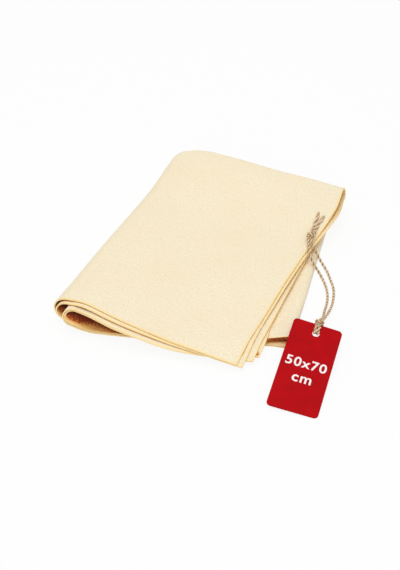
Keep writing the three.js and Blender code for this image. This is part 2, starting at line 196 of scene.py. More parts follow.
# The twine's routes, in millimetres: from the card to the knot, through it, and along the tails
LEFT_ROUTE = (
    (117.5, -49.0, 12.9), (117.2, -46.6, 12.4), (117.2, -38.8, 8), (114.2, -25, 4),
    (111.3, -11.2, 1.6), (107.7, -0.9, 1.3), (101.4, 9.9, 1.5), (93.7, 17.9, 3.6),
    (85.2, 22.2, 10), (77.2, 27.5, 17.8), (74.9, 33, 19.7), (72.4, 38.3, 20.2),
    (71.3, 40.4, 20.5), (70.9, 43.4, 21.2), (70.7, 46.4, 21.4), (70.6, 49.4, 21.4),
    (70.2, 51.6, 21.3), (68.8, 62.3, 21.5), (65.9, 81, 22.9),
)
RIGHT_ROUTE = (
    (119.8, -48.7, 12.9), (119.5, -46.3, 12.4), (119.1, -35.5, 8.4), (117.1, -15.8, 3),
    (114.1, -2.9, 1.5), (109.8, 8.5, 1.3), (103.5, 17.9, 1.4), (95.5, 28.3, 1.9),
    (87, 34.3, 6), (80.2, 36.3, 14.5), (77.4, 37, 18.8), (75.2, 38.7, 20.3),
    (73.8, 40.5, 20.8), (73.1, 43.4, 21.5), (72.9, 46.4, 21.8), (73, 49.4, 21.6),
    (72.7, 51.6, 21.6), (71.7, 61.8, 21.8), (72.7, 77.7, 23.2),
)
TAIL_LENGTH = 28.0
BEND_LENGTH, BEND_POINT = 0.014, 12

# Its plies, in shares of its diameter, and how far they come apart in a tail
PLY_RADIUS, PLY_OFFSET, PLY_SIDES, LAY_STEPS = 0.35, 0.3, 8, 15
LOOSE_LAY, LOOSE_RADIUS, LOOSE_OFFSET = 0.55, 0.4, 0.5
UNEVEN = ((0.06, 1.7), (0.05, 4.3))
# How far each ply is out of the painted shade between the plies: on the whole, where it comes apart,
# and on its outer side
CROWN_MIDDLE, CROWN_LOOSE, CROWN_RISE = 0.5, 0.3, 0.75
# Its hairs and the brush of fibres at a tail's end, in millimetres
TWINE_FLOOR, HAIR_FLOOR, LINE_STEPS = 0.03, 0.1, 24
HAIR_ROOT, HAIR_REACH, HAIR_DRIFT = 0.42, (0.5, 1.3), (0.8, 2.4)
HAIR_RADII = (0.05, 0.04, 0.015)
BRUSH_FIBRES, BRUSH_LENGTH, BRUSH_RADIUS = 80, 2.6, (0.12, 0.23)
BRUSH_SPREAD, BRUSH_TIP, BRUSH_ROOT = (0.1, 1.0), (-2.4, -1.0), (3.0, 9.0)
BRUSH_BELLY, BRUSH_MOUTH, BRUSH_TAPER = 0.5, 1.3, (1.0, 0.9, 0.4)
# The knot's wrap, and the clearance that the hitch keeps
KNOT_PLACE = (71.9, 45.0, 21.7)
KNOT_STEPS, KNOT_TURNS, KNOT_START = 22, 2.2, -0.15
KNOT_WIDE, KNOT_TALL, KNOT_LIFT = 2.6, 2.0, 0.6
KNOT_FOOT, KNOT_LENGTH, KNOT_SLANT = -2.2, 5.0, 0.9
HITCH_GAP = 0.25

# The camera, in millimetres from the sheet's corner and in degrees, and the lamps, in metres and
# watts: name, place, size and power
CAMERA_PLACE = (227.0, -517.5, 583.2)
CAMERA_TURN, CAMERA_FALL = 26.6, 41.0
CAMERA_LENS, CAMERA_SENSOR = 63.16, 36.0
LAMPS = (
    ("key", (-0.15, 0.25, 1.7), 1.3, 11.8),
    ("front", (0.45, -1.3, 1.1), 1.3, 8.2),
)
FILL_LIGHT = 0.52
FLOOR_SIZE = 4.0


def distance(name, description, default):
    """A setting that is a length in metres."""
    return FloatProperty(name=name, description=description, default=default, unit="LENGTH")


def tint(name, description, default):
    """A setting that is a colour."""
    return FloatVectorProperty(
        name=name, description=description, default=linear(default), size=4, subtype="COLOR"
    )


class ClothSettings(PropertyGroup):
    """The sheet of nonwoven, as cut and as folded."""

    length: distance("Cut length", "Length of the sheet before it is folded", 0.7)
    width: distance("Cut width", "Width of the sheet before it is folded", 0.5)
    thickness: distance("Thickness", "Thickness of the nonwoven", 0.0012)
    colour: tint("Colour", "Colour of the cloth's faces", "#FCF2DA")
    edge_colour: tint("Cut edge", "Colour of the cut edges", "#FFE4A8")


class TagSettings(PropertyGroup):
    """The hang tag and what is printed on it."""

    width: distance("Width", "Width of the card", 0.0415)
    length: distance("Length", "Length of the card", 0.09)
    thickness: distance("Thickness", "Thickness of the card", 0.0006)
    corner: distance("Corner radius", "Radius of the card's corners", 0.0036)
    hole: distance("Hole radius", "Radius of the punched hole", 0.003)
    hole_inset: distance("Hole inset", "From the top edge to the middle of the hole", 0.0099)
    size_text: StringProperty(
        name="Size", description="The sheet's size, as printed", default="50x70"
    )
    unit_text: StringProperty(name="Unit", description="The unit, as printed", default="cm")
    colour: tint("Colour", "Colour of the print on the card", "#BA0911")


class TwineSettings(PropertyGroup):
    """The jute twine."""

    diameter: distance("Diameter", "Diameter of the twine over both plies", 0.0021)
    lay_length: distance("Lay length", "Length of one turn of a ply round the other", 0.0088)
    hairs: IntProperty(name="Hairs", description="Loose fibres on each strand", default=110)
    colour: tint("Colour", "Colour of the jute", "#EFD3AA")


# Shapes


def smooth(low, high, x):
    """From nought at low to one at high, eased at both ends."""
    t = np.clip((x - low) / (high - low), 0, 1)
    return t * t * (3 - 2 * t)


def fade(low, high, x):
    """From one at low to nought at high."""
    return 1 - smooth(low, high, x)


def between(x, start, full, waning, end):
    """Nought outside start and end, and one from full to waning."""
    return smooth(start, full, x) * fade(waning, end, x)


def mix(a, b, t):
    """From a, where t is nought, to b, where t is one."""
    return a + (b - a) * t


def hump(x, centre, reach):
    """One at the centre, and falling away to almost nought at twice its reach."""
    return np.exp(-(((x - centre) / reach) ** 2))


def unit(vectors):
    return vectors / np.linalg.norm(vectors, axis=-1, keepdims=True)


def side_at(layer, side, v):
    """How far across and how far back the roll or the end of a double layer lies."""
    near, far = PLAN[layer][side]
    return mix(near[0], far[0], v), mix(near[1], far[1], v)


class FoldedSheet:
    """Where each point of the flat sheet lies once it is folded, in millimetres: s runs along its
    length, in shares, and t across its width. In the stack, u and x run across it and v and y from
    near to far, in shares of its folded width and length."""

    def __init__(self, length, width, thickness):
        self.length, self.width, self.thickness = length, width, thickness
        self.folded_width, self.folded_length = length / 4, width / 2
        self.pitch = thickness + LEAF_CLEARANCE
        self.straight = (width - CROSS_FOLD_DEPTH) / 2
        self.fold = self.straight - LEAF_OFFSET

    def stations(self):
        """The places of the mesh's rows and columns on the sheet."""
        past_fold, last = self.fold + CROSS_FOLD_DEPTH, [self.width - d for d in EDGE_STRETCHES]
        along = [*(stretch[0] for stretch in STRETCHES), 1 - END_STRETCH / self.length, 1.0]
        across = [*EDGE_STRETCHES, self.fold - FOLD_STRETCH, self.fold]
        across += [past_fold, past_fold + FOLD_STRETCH, *last[::-1]]
        return even_steps(along, ALONG_STEPS), even_steps(across, ACROSS_STEPS)

    def plan(self, layer, u, v):
        roll, end = side_at(layer, "roll", v), side_at(layer, "end", v)
        bow = NEAR_BOW[layer] * np.sin(np.pi * u) * fade(*BOW_RUN, v)
        x, y = mix(roll[0], end[0], u), mix(roll[1], end[1], u)
        if layer == "top":
            x = x + sum(size * hump(v, place, reach) for size, place, reach in FAR_BULGES) * u * u
        # The far left corner is round, where the two folds meet
        beside = np.clip(1 - u * self.folded_width / CORNER_RADIUS, 0, 1)
        into = np.clip(1 - (1 - v) * self.folded_length / CORNER_RADIUS, 0, 1)
        inward = beside * (1 - np.sqrt(1 - into**2 / 2))
        back = into * (1 - np.sqrt(1 - beside**2 / 2))
        x = x + CORNER_ROUNDNESS * CORNER_RADIUS / self.folded_width * inward
        # The floor of the mouth at the right stands out a little more towards its end
        if layer == "bottom":
            y = y - FLOOR_BOW * smooth(*FLOOR_ACROSS, u) * fade(*FLOOR_RUN, v)
        y = y - CORNER_ROUNDNESS * CORNER_RADIUS / self.folded_length * back
        return x, y - bow

    def lower_edge(self, x):
        """How far back the near edge of the lower double layer lies."""
        roll, end = side_at("lower", "roll", 0), side_at("lower", "end", 0)
        u = np.clip((x - roll[0]) / (end[0] - roll[0]), 0, 1)
        return mix(roll[1], end[1], u) - NEAR_BOW["bottom"] * np.sin(np.pi * u)

    def curl(self, layer, x, v):
        """How far a layer bends up or down at the roll, near its open end."""
        roll = side_at(layer, "roll", v)[0]
        near = np.clip(1 - (x - roll) * self.folded_width / CURL_LENGTH, 0, 1) ** CURL_POWER
        return CURL[layer] * near * fade(*CURL_RUN, v)

    def height(self, layer, x, y, v):
        z = self.thickness / 2 + self.pitch * (2 * LAYER_ORDER[layer] + 0.5)
        from_roll = x - side_at("top", "roll", v)[0]
        rise = mix(*ROLL_RISES, smooth(*ROLL_RISE_RUN, v)) * ROLL_SHARE[layer]
        z = z + rise * fade(ROLL_START, mix(*ROLL_ENDS, v), from_roll)
        edge = sum(share * smooth(low, high, y) for share, low, high in EDGE_STEPS)
        edge = edge * (1 - EDGE_FALL * smooth(*EDGE_FALL_RUN, y))
        z = z + EDGE_LIFT * EDGE_SHARE[layer] * edge * hump(np.minimum(x, 0), 0, EDGE_REACH)
        far = smooth(*FAR_RUN, y) * (1 - FAR_EASE * fade(*FAR_EASE_RUN, from_roll))
        z = z + FAR_LIFT * FAR_SHARE[layer] * far
        if layer in ("top", "under"):
            # They hang over the lower double's near edge, down to the ground
            beyond = (y - self.lower_edge(x)) * self.folded_length
            drop = 4 * self.pitch * fade(-DRAPE_LENGTH, -DRAPE_REST, beyond)
            spring = TOP_SPRING * fade(*SPRING_RUN, y) if layer == "top" else 0
            z = z + (spring - drop) * smooth(*DRAPE_ACROSS, x)
        z = z + self.curl(layer, x, v)
        if layer == "lower":
            z = z + FOLD_RELIEF * fade(*FOLD_RELIEF_RUN, side_at("lower", "end", v)[0] - x)
            z = z + LIP_LIFT * between(x, *LIP_ACROSS) * fade(*LIP_RUN, y - self.lower_edge(x))
        return z

    def on_layer(self, layer, u, v, slip):
        x, y = self.plan(layer, u, v)
        x, y = x + slip[0] / self.folded_width, y + slip[1] / self.folded_length
        z = self.height(layer, x, y, v)
        return np.stack([x * self.folded_width, y * self.folded_length, z], -1)

    def double_layer(self, s, v, slip):
        """Midway between the two leaves, along each layer and round each turn."""
        out, done = np.zeros(s.shape + (3,)), np.zeros(s.shape, bool)
        for low, high, layer, turns_into, side, swell in STRETCHES:
            here = (s <= high) & ~done
            done |= here
            along, there = (s[here] - low) / (high - low), (slip[0][here], slip[1][here])
            if turns_into is None:
                u = 1 - along if side == "end" else along
                out[here] = self.on_layer(layer, u, v[here], there)
                continue
            at, way, slant = TURNS[side]
            ends, levels = [], []
            for name in (layer, turns_into):
                end = self.on_layer(name, np.full_like(along, at), v[here], there)
                ends.append(end)
                levels.append(end[:, 2] - self.curl(name, end[:, 0] / self.folded_width, v[here]))
            turn = along * np.pi
            reach = way * np.abs(levels[0] - levels[1]) / 2 * swell * np.sin(turn)
            point = ends[0] + (ends[1] - ends[0]) * ((1 - np.cos(turn)) / 2)[:, None]
            point[:, 0] += reach
            point[:, 1] += slant * reach
            out[here] = point
        return out

    def looseness(self, point, s):
        """How much further apart the leaves lie than their clearance."""
        x, y = point[..., 0] / self.folded_width, point[..., 1] / self.folded_length
        loop = LOOP_HEIGHT * hump(y, *LOOP_PLACE) * smooth(*LOOP_ACROSS, x) * fade(*LOOP_ALONG, s)
        return loop + ROLL_LOOSENESS * hump(s, *LOOSE_PLACE) * fade(*LOOSE_RUN, y)

    def leaf_slip(self, s, v, turn):
        """How far the leaves have slipped past each other at the cut ends, right and back."""
        second = (1 - np.cos(turn)) / 2 * fade(*SLIP_ALONG, s)
        first = (1 + np.cos(turn)) / 2 * smooth(*LOWER_SLIP_ALONG, s) * fade(*LOWER_SLIP_RUN, v)
        near = SLIP_NEAR * fade(*SLIP_NEAR_RUN, v)
        far = SLIP_FAR * smooth(*SLIP_FAR_RUN, v) * (1 - SLIP_FALL * smooth(*SLIP_FALL_RUN, v))
        slip_x = second * (SLIP_MIDDLE + near + far) + first * LOWER_SLIP
        slip_y = second * SLIP_BACK * fade(*SLIP_BACK_RUN, v) + first * LOWER_SLIP_BACK
        return slip_x, slip_y

    def middle(self, s, t):
        """The middle of the sheet's thickness."""
        # The cross fold lies off the middle, so one leaf stands out beyond the other
        offset = LEAF_OFFSET * (1 - OFFSET_FALL * smooth(*OFFSET_ALONG, s))
        v = np.minimum(np.minimum(t + offset, self.width - offset - t) / self.straight, 1)
        turn = np.clip((t + offset - self.straight) / CROSS_FOLD_DEPTH, 0, 1) * np.pi
        slip = self.leaf_slip(s, v, turn)
        point = self.double_layer(s, v, slip)
        along = self.double_layer(np.minimum(s + SLOPE_STEP, 1), v, slip)
        along -= self.double_layer(np.maximum(s - SLOPE_STEP, 0), v, slip)
        away = self.double_layer(s, np.minimum(v + SLOPE_STEP, 1), slip)
        away = unit(away - self.double_layer(s, v - SLOPE_STEP, slip))
        apart = (self.pitch + self.looseness(point, s)) / 2
        over = unit(np.cross(away, along)) * (apart * np.cos(turn))[..., None]
        return point + over + away * (apart * np.sin(turn))[..., None]

    def light(self, s, t):
        """The painted shade at each point, as how far it is shut off from light, and its painted
        light, as the lowest openness that it keeps.
        """
        to_last = self.width - t
        to_edge = np.minimum(t, to_last)
        # Painted shade: the inside roll is darker the deeper in, past the first few millimetres that
        # are lit
        (shallow, deep), along, across = INNER_ROLL
        lit = mix(*INNER_ROLL_LIT, smooth(*INNER_ROLL_TURN, s))
        shut = between(s, *along) * between(t, *across)
        shut *= mix(shallow * fade(*INNER_ROLL_FLOOR, s), deep, smooth(lit, 4 * lit, t))
        # Painted shade on the lips of the mouth at the right, in the mouth, and in the mouth of the
        # outer roll
        gaps = ((LIPS, to_edge), (MOUTH, to_last), (OUTER_ROLL, to_last))
        for (share, along, across), inward in gaps:
            shut = np.maximum(shut, share * between(s, *along) * between(inward, *across))
        # Painted golden shade where the second leaf stands out beyond the top leaf, for light that
        # comes yellow through the top leaf on to it
        strip = fade(*STRIP_END, s) * smooth(self.fold, self.fold + CROSS_FOLD_DEPTH, t)
        strip *= smooth(*STRIP_FADE, to_last)
        # Painted shade: a dark spot for the small hollow under the lower double's curled corner
        painted_hollow_shade = hump((1 - s) * self.length, *HOLLOW_ALONG) * hump(t, *HOLLOW_ACROSS)
        shut = np.maximum(np.maximum(shut, STRIP * strip), painted_hollow_shade)
        # Painted light: light soaks through the leaves' cut ends and edges, and the strip that they
        # leave bare, so these keep a paler colour
        ends = LIT_ENDS[0] * (1 - between(s, *LIT_ENDS[1]))
        beside = LIT_BESIDE_ROLLS[0] * (1 - between(s, *LIT_BESIDE_ROLLS[1]))
        roll = LIT_ROLL[0] * between(s, *LIT_ROLL[1])
        edges = fade(*LIT_EDGE, to_edge) * np.maximum(beside, roll)
        bare = LIT_BARE[0] * between(s, *LIT_BARE[1]) * between(t, *LIT_BARE[2])
        return shut, np.maximum(np.maximum(ends, edges) * (1 - painted_hollow_shade), bare)


def even_steps(ends, steps):
    """Places between the ends of each stretch, in as many even steps as given for it."""
    stretches = zip(ends, ends[1:], steps)
    runs = [np.linspace(low, high, count, endpoint=False) for low, high, count in stretches]
    return np.concatenate([*runs, [ends[-1]]])


def slow_waves(x, y):
    """The height of the slow waves in which the stack rides, in millimetres."""
    broad = 0.35 * np.sin(x / 17 + 0.6 * np.sin(y / 29)) * np.sin(y / 23 + 1.3)
    return broad + 0.25 * np.sin(x / 9.5 + y / 31)


# Materials


def add(tree, kind, settings=(), **links):
    """Adds a node, sets its properties and inputs, and links sockets or nodes that feed it."""
    node = tree.nodes.new("ShaderNode" + kind)
    for name, value in dict(settings).items():
        if isinstance(value, str) and value.startswith("#"):
            value = linear(value)
        if isinstance(name, str) and hasattr(node, name):
            setattr(node, name, value)
        else:
            node.inputs[name].default_value = value
    for name, source in links.items():
        if isinstance(source, bpy.types.Node):
            source = next(output for output in source.outputs if output.enabled)
        socket = int(name[1:]) if name[1:].isdigit() else name.replace("_", " ")
        tree.links.new(source, node.inputs[socket])
    return node


def new_material(name):
    material = bpy.data.materials.new(name)
    material.use_nodes = True
    material.node_tree.nodes.clear()
    return material, material.node_tree


def nonwoven(settings):
    """Needled viscose nonwoven, chemically bonded: matt and soft, with a felted, faintly pebbled
    face of short crossing fibres, and cut edges that show the deeper yellow of its core, lightened
    as a painted highlight. Painted shade turns it orange and brown where its leaves hide each other
    from light."""
    material, tree = new_material("needled_viscose_nonwoven")
    # The sheet's own flat coordinates, in metres
    place = add(tree, "UVMap", {"uv_map": "flat"})
    # Felt clumps about 1.1 mm wide and twice as long the way the web was laid, and fibres about
    # 0.6 mm apart, drawn coarser than the real 0.02 mm
    laid = add(tree, "Mapping", {"Scale": (1.0, 0.5, 1.0)}, Vector=place)
    felt = {"Scale": 1 / 0.0011, "Detail": 2.0, "Roughness": 0.6, "Distortion": 0.4}
    clumps = add(tree, "TexNoise", felt, Vector=laid)
    fibre = {"Scale": 1 / 0.0006, "Detail": 2.0, "Roughness": 0.7, "Distortion": 1.6}
    fibres = add(tree, "TexNoise", fibre, Vector=place)
    fine = add(tree, "Math", {"operation": "MULTIPLY", 1: 0.3}, i0=fibres)
    mottle = add(tree, "Math", {"operation": "MULTIPLY_ADD", 1: 0.7}, i0=clumps, i2=fine)
    shade = add(tree, "MapRange", {"From Min": 0.36, "From Max": 0.62}, Value=mottle)
    tones = {"data_type": "RGBA", 6: "#F2E1BD", 7: tuple(settings.colour)}
    face = add(tree, "Mix", tones, i0=shade)
    # Faint clouds about 45 mm across
    cloudy = add(tree, "TexNoise", {"Scale": 1 / 0.045, "Detail": 2.0}, Vector=place)
    wash = add(tree, "MapRange", {"From Min": 0.35, "From Max": 0.65, "To Max": 0.2}, Value=cloudy)
    face = add(tree, "Mix", {"data_type": "RGBA", 7: "#F6E0B0"}, i0=wash, i6=face)
    # The yellow of the core, lightened as a painted highlight where light catches the cut edges,
    # within about 2 mm of a cut edge
    split = add(tree, "SeparateXYZ", Vector=place)
    nearest = []
    for axis, size in ((0, settings.length), (1, settings.width)):
        half = size / 2
        off_centre = add(tree, "Math", {"operation": "SUBTRACT", 1: half}, i0=split.outputs[axis])
        inside = add(tree, "Math", {"operation": "ABSOLUTE"}, i0=off_centre)
        nearest.append(add(tree, "Math", {"operation": "SUBTRACT", 0: half}, i1=inside))
    nearest = add(tree, "Math", {"operation": "MINIMUM"}, i0=nearest[0], i1=nearest[1])
    core = {"From Min": 0.0002, "From Max": 0.0024, "To Min": 1.0, "To Max": 0.0}
    edge = add(tree, "MapRange", {"interpolation_type": "SMOOTHSTEP", **core}, Value=nearest)
    face = add(tree, "Mix", {"data_type": "RGBA", 7: tuple(settings.edge_colour)}, i0=edge, i6=face)
    # Painted shade: between the leaves, where the stored openness is low, the colour turns orange
    # and then brown, for light that reaches the eye there only through and off yellow fibre
    opened = add(tree, "Attribute", {"attribute_name": "open"}).outputs["Fac"]
    ragged = add(tree, "Math", {"operation": "MULTIPLY_ADD", 1: 0.5, 2: -0.245}, i0=mottle)
    ragged = add(tree, "Math", {"operation": "ADD", "use_clamp": True}, i0=ragged, i1=opened)
    painted_hollow_shade = add(tree, "ValToRGB", i0=ragged)
    stops = painted_hollow_shade.color_ramp.elements
    stops[0].position, stops[0].color = 0.0, linear("#852303")
    stops[1].position, stops[1].color = 0.6, linear("#FAE2B0")
    browns = ((0.07, "#9A400F"), (0.15, "#D88A40"), (0.24, "#EDB263"), (0.36, "#EFC888"))
    for position, colour in browns:
        stops.new(position).color = linear(colour)
    outward = {"interpolation_type": "SMOOTHSTEP", "From Min": 0.34, "From Max": 0.72}
    out_of = add(tree, "MapRange", outward, Value=ragged)
    colour = add(tree, "Mix", {"data_type": "RGBA"}, i0=out_of, i6=painted_hollow_shade, i7=face)
    # The clumps stand about 0.1 mm proud, and the fibres less than that
    relief = add(tree, "Bump", {"Strength": 0.7, "Distance": 0.00025}, Height=mottle)
    matt = {"Roughness": 0.95, "IOR": 1.45, "Specular IOR Level": 0.15}
    soft = {"Sheen Weight": 0.12, "Sheen Roughness": 0.6}
    shader = add(tree, "BsdfPrincipled", {**matt, **soft}, Base_Color=colour, Normal=relief)
    add(tree, "OutputMaterial", Surface=shader)
    return material


def printed_card(settings):
    """Coated paperboard, offset printed red: smooth with a slight gloss, and its cut edges a
    darker red."""
    material, tree = new_material("coated_paperboard_red")
    place = add(tree, "TexCoord").outputs["Object"]
    # Paper fibres about 0.4 mm long under the coating, and ink density that varies over 12 mm
    fibres = add(tree, "TexNoise", {"Scale": 1 / 0.0004, "Detail": 3.0}, Vector=place)
    ink = add(tree, "TexNoise", {"Scale": 1 / 0.012, "Detail": 2.0}, Vector=place)
    density = add(tree, "MapRange", {"From Min": 0.3, "From Max": 0.7}, Value=ink)
    reds = {"data_type": "RGBA", 6: "#AE0910", 7: tuple(settings.colour)}
    face = add(tree, "Mix", reds, i0=density)
    rim = add(tree, "Attribute", {"attribute_name": "rim"}).outputs["Fac"]
    colour = add(tree, "Mix", {"data_type": "RGBA", 7: "#8E0F16"}, i0=rim, i6=face)
    relief = add(tree, "Bump", {"Strength": 0.25, "Distance": 0.00004}, Height=fibres)
    coating = {"Roughness": 0.5, "IOR": 1.5, "Specular IOR Level": 0.04}
    shader = add(tree, "BsdfPrincipled", coating, Base_Color=colour, Normal=relief)
    add(tree, "OutputMaterial", Surface=shader)
    return material


def screen_ink():
    """Opaque white screen ink: a thin matt film with a faint grain where it sinks into the card."""
    material, tree = new_material("white_screen_ink")
    place = add(tree, "TexCoord").outputs["Object"]
    grain = add(tree, "TexNoise", {"Scale": 1 / 0.0005, "Detail": 2.0}, Vector=place)
    colour = add(tree, "Mix", {"data_type": "RGBA", 6: "#FFFDFB", 7: "#F4E9E6"}, i0=grain)
    relief = add(tree, "Bump", {"Strength": 0.2, "Distance": 0.00002}, Height=grain)
    film = {"Roughness": 0.55, "IOR": 1.5}
    shader = add(tree, "BsdfPrincipled", film, Base_Color=colour, Normal=relief)
    add(tree, "OutputMaterial", Surface=shader)
    return material


def jute(settings):
    """Spun two-ply jute: dry, hairy bast fibre, pale straw on the crowns, with painted shade in
    brown between the plies."""
    material, tree = new_material("two_ply_jute")
    place = add(tree, "TexCoord").outputs["Object"]
    # Bundles of fibre about 0.35 mm wide, and slubs about 3 mm long
    strands = {"Scale": 1 / 0.00035, "Detail": 3.0, "Distortion": 1.0}
    bundles = add(tree, "TexNoise", strands, Vector=place)
    slubs = add(tree, "TexNoise", {"Scale": 1 / 0.003, "Detail": 1.0}, Vector=place)
    straws = {"data_type": "RGBA", 6: "#C8A678", 7: tuple(settings.colour)}
    fibre = add(tree, "Mix", straws, i0=bundles)
    pale = add(tree, "MapRange", {"From Min": 0.35, "From Max": 0.65, "To Max": 0.5}, Value=slubs)
    fibre = add(tree, "Mix", {"data_type": "RGBA", 7: "#FBE8CB"}, i0=pale, i6=fibre)
    crown = add(tree, "Attribute", {"attribute_name": "crown"}).outputs["Fac"]
    # Painted shade: brown where a ply faces the other, in the groove between the plies
    colour = add(tree, "Mix", {"data_type": "RGBA", 6: "#86603A"}, i0=crown, i7=fibre)
    relief = add(tree, "Bump", {"Strength": 0.6, "Distance": 0.00012}, Height=bundles)
    dry = {"Roughness": 0.85, "IOR": 1.5, "Specular IOR Level": 0.3, "Sheen Weight": 0.15}
    shader = add(tree, "BsdfPrincipled", dry, Base_Color=colour, Normal=relief)
    add(tree, "OutputMaterial", Surface=shader)
    return material


def seen_white(tree):
    """One where the eye, a mirror or a clear piece looks, and nought where light only bounces."""
    rays = add(tree, "LightPath").outputs
    greater = {"operation": "MAXIMUM"}
    seen = add(tree, "Math", greater, i0=rays["Is Camera Ray"], i1=rays["Is Glossy Ray"])
    return add(tree, "Math", greater, i0=seen, i1=rays["Is Transmission Ray"])


def backdrop_paper():
    """Seamless white backdrop paper: blank white to the eye and to mirrors, but it takes the
    object's shadow."""
    material, tree = new_material("white_backdrop_paper")
    paper = add(tree, "BsdfDiffuse", {"Color": "#F4F4F4"})
    white = add(tree, "Emission", {"Color": "#FFFFFF", "Strength": 1.0})
    share = add(tree, "Math", {"operation": "MULTIPLY", 1: 0.9}, i0=seen_white(tree))
    blank = add(tree, "MixShader", i0=share, i1=paper, i2=white)
    add(tree, "OutputMaterial", Surface=blank)
    return material


# Pieces


def finished(name, bm, material):
    """Makes a shown object of a bmesh, at the origin."""
    mesh = bpy.data.meshes.new(name)
    bm.to_mesh(mesh)
    bm.free()
    mesh.materials.append(material)
    mesh.shade_smooth()
    piece = bpy.data.objects.new(name, mesh)
    bpy.context.scene.collection.objects.link(piece)
    return piece


def values(items, name, width=1):
    """What a field of each item holds, as an array."""
    held = np.zeros(len(items) * width)
    items.foreach_get(name, held)
    return held.reshape(-1, width) if width > 1 else held


def store_openness(mesh, reach=0.045, rays=16):
    """Stores at each vertex the share of its outlook that the cloth itself leaves open, lessened by
    its painted shade and kept up by its painted light; the colour paints shade from it.
    """
    places = values(mesh.vertices, "co", 3)
    normals = values(mesh.vertex_normals, "vector", 3)
    tree = BVHTree.FromPolygons(places.tolist(), [tuple(face.vertices) for face in mesh.polygons])
    upright = np.abs(normals[:, 2:]) > 0.7
    beside = unit(np.cross(normals, np.where(upright, (1.0, 0.0, 0.0), (0.0, 0.0, 1.0))))
    beyond = np.cross(normals, beside)
    hits = np.zeros(len(places))
    starts = [Vector(place) for place in places + normals * RAY_START]
    for k in range(rays):
        wide, angle = math.sqrt((k + 0.5) / rays), k * GOLDEN_ANGLE
        ways = beside * (wide * math.cos(angle)) + beyond * (wide * math.sin(angle))
        ways += normals * math.sqrt(1 - wide * wide)
        found = [tree.ray_cast(start, Vector(way), reach)[0] for start, way in zip(starts, ways)]
        hits += [hit is not None for hit in found]
    inner, least = (values(mesh.attributes[name].data, "value") for name in ("inner", "least"))
    opened = np.maximum((1 - hits / rays) * (1 - inner), least).astype(np.float32)
    mesh.attributes.new("open", "FLOAT", "POINT").data.foreach_set("value", opened)


class CHAMOIS_OT_cloth(Operator):
    """Makes the folded sheet of nonwoven"""

    bl_idname = "chamois.cloth"
    bl_label = "Cloth"

    def execute(self, context):
        settings = context.scene.chamois_cloth
        sheet = FoldedSheet(settings.length / MM, settings.width / MM, settings.thickness / MM)
        along, across = sheet.stations()
        rows, columns = len(along) - 1, len(across) - 1
        bm = bmesh.new()
        bmesh.ops.create_grid(bm, x_segments=rows, y_segments=columns, size=0.5)
        s = along[[round((v.co.x + 0.5) * rows) for v in bm.verts]]
        t = across[[round((v.co.y + 0.5) * columns) for v in bm.verts]]
        places = sheet.middle(s, t) + SHEET_CORNER
        # The whole stack rides in slow waves, so its leaves stay clear of each other
        x, y, z = places.T
        waved = z + slow_waves(x, y) * smooth(*WAVE_RUN, z)
        places[:, 2] = np.maximum(waved, sheet.thickness / 2 + FLOOR_GAP)
        # Each vertex keeps its painted shade and painted light, from which its colour is shaded
        inner = bm.verts.layers.float.new("inner")
        least = bm.verts.layers.float.new("least")
        flat = bm.loops.layers.uv.new("flat")
        for vert, place, shut, lit in zip(bm.verts, places, *sheet.light(s, t)):
            vert.co = Vector(place) * MM
            vert[inner], vert[least] = shut, lit
        for face in bm.faces:
            for loop in face.loops:
                i = loop.vert.index
                loop[flat].uv = (s[i] * settings.length, t[i] * MM)
        bmesh.ops.reverse_faces(bm, faces=bm.faces)
        cloth = finished("chamois_cloth", bm, nonwoven(settings))
        wall = cloth.modifiers.new("thickness", "SOLIDIFY")
        wall.thickness, wall.offset = settings.thickness, 0.0
        rims = cloth.modifiers.new("rims", "BEVEL")
        rims.width, rims.segments = RIM_WIDTH, RIM_STEPS
        rims.limit_method, rims.angle_limit = "ANGLE", RIM_ANGLE
        context.view_layer.update()
        graph = context.evaluated_depsgraph_get()
        mesh = bpy.data.meshes.new_from_object(
            cloth.evaluated_get(graph), preserve_all_data_layers=True, depsgraph=graph
        )
        cloth.modifiers.clear()
        cloth.data = mesh
        store_openness(mesh)
        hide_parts("cloth")
        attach(cloth, "folded_cloth")
        return {"FINISHED"}


